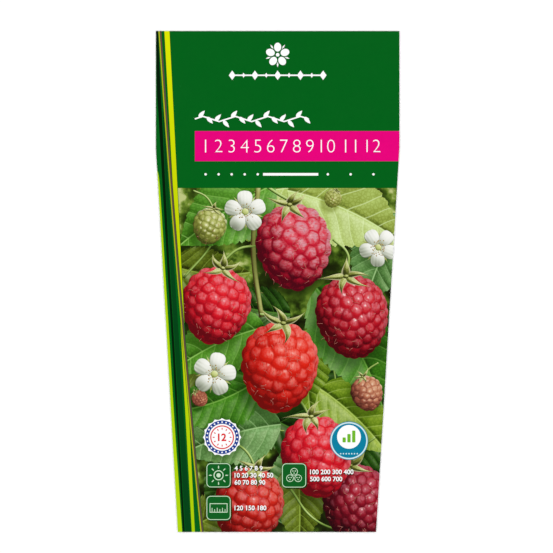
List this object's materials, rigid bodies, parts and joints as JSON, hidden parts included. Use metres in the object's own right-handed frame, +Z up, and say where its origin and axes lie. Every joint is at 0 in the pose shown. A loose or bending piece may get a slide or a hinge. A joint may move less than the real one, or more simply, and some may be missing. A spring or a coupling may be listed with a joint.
{
  "type": "printed plant pot label",
  "caption": "Large flat printed plastic label for a potted raspberry bush: plain header with a coloured band, tapered body with a fruit and leaf picture, striped left edge.",
  "frame": {"origin": "centre of the flat underside of the sheet, midway along its height", "axes": "+X to the label's right, +Y to its top edge, +Z up out of the printed face"},
  "size_m": [0.15, 0.3084, 0.0011],
  "materials": {
    "sheet": "white polypropylene sheet, fine matt on the back and at the cut edges",
    "green_ink": "flat deep green printing ink under satin varnish",
    "magenta_ink": "flat magenta printing ink under satin varnish",
    "shade_ink": "printed leaf shade, dark greens, under satin varnish",
    "gold_ink": "printed olive gold line",
    "plum_ink": "printed brown purple line",
    "dark_green_ink": "printed near-black green line",
    "lime_ink": "printed lime edge stripe",
    "yellow_ink": "printed greenish yellow band",
    "white_ink": "opaque white ink under satin varnish",
    "teal_ink": "printed teal disc with a pale rim",
    "badge_ink": "printed green badge with a pale rim",
    "petal_ink": "printed white petals with soft grey shading",
    "sepal_ink": "printed pale green sepals",
    "young_fruit_ink": "printed unripe fruit, pale orange pink",
    "fruit_ink": "printed ripe raspberries, crimson with lighter drupelets",
    "stalk_ink": "printed green stalks",
    "pale_leaf_ink": "printed whitish leaf underside with green veins",
    "leaf_ink": "printed green leaves with paler veins"
  },
  "bodies": {
    "root": {"card": "sheet", "green_field": "green_ink", "banner": "magenta_ink", "picture_ground": "shade_ink", "gold_line": "gold_ink", "plum_line": "plum_ink", "dark_line": "dark_green_ink", "deep_line": "dark_green_ink", "lime_edge": "lime_ink", "yellow_band_upper": "yellow_ink", "yellow_band_lower": "yellow_ink", "emblem": "white_ink", "rule": "white_ink", "sprig": "white_ink", "season_bar": "white_ink", "seal_rosette": "white_ink", "seal_round": "teal_ink", "badge_sun": "badge_ink", "badge_berries": "badge_ink", "badge_ruler": "badge_ink", "blossom_top": "petal_ink", "blossom_right": "petal_ink", "blossom_left": "petal_ink", "calyx_berry_top": "sepal_ink", "calyx_berry_left": "sepal_ink", "calyx_berry_right": "sepal_ink", "calyx_berry_middle": "sepal_ink", "calyx_berry_low": "sepal_ink", "calyx_berry_foot_left": "sepal_ink", "calyx_berry_foot_right": "sepal_ink", "calyx_young_berry_left": "sepal_ink", "calyx_young_berry_right": "sepal_ink", "berry_top": "fruit_ink", "berry_left": "fruit_ink", "berry_right": "fruit_ink", "berry_middle": "fruit_ink", "berry_low": "fruit_ink", "berry_foot_left": "fruit_ink", "berry_foot_right": "fruit_ink", "young_berry_left": "young_fruit_ink", "young_berry_right": "young_fruit_ink", "stalk_top": "stalk_ink", "stalk_left": "stalk_ink", "stalk_right": "stalk_ink", "cane": "stalk_ink", "leaf_right": "leaf_ink", "leaf_left": "leaf_ink", "leaf_top_right": "pale_leaf_ink", "leaf_top_left": "leaf_ink", "leaf_middle_left": "leaf_ink", "leaf_low_right": "leaf_ink", "leaf_low_left": "leaf_ink", "leaf_foot": "leaf_ink", "leaf_foot_left": "leaf_ink"}
  },
  "joints": []
}
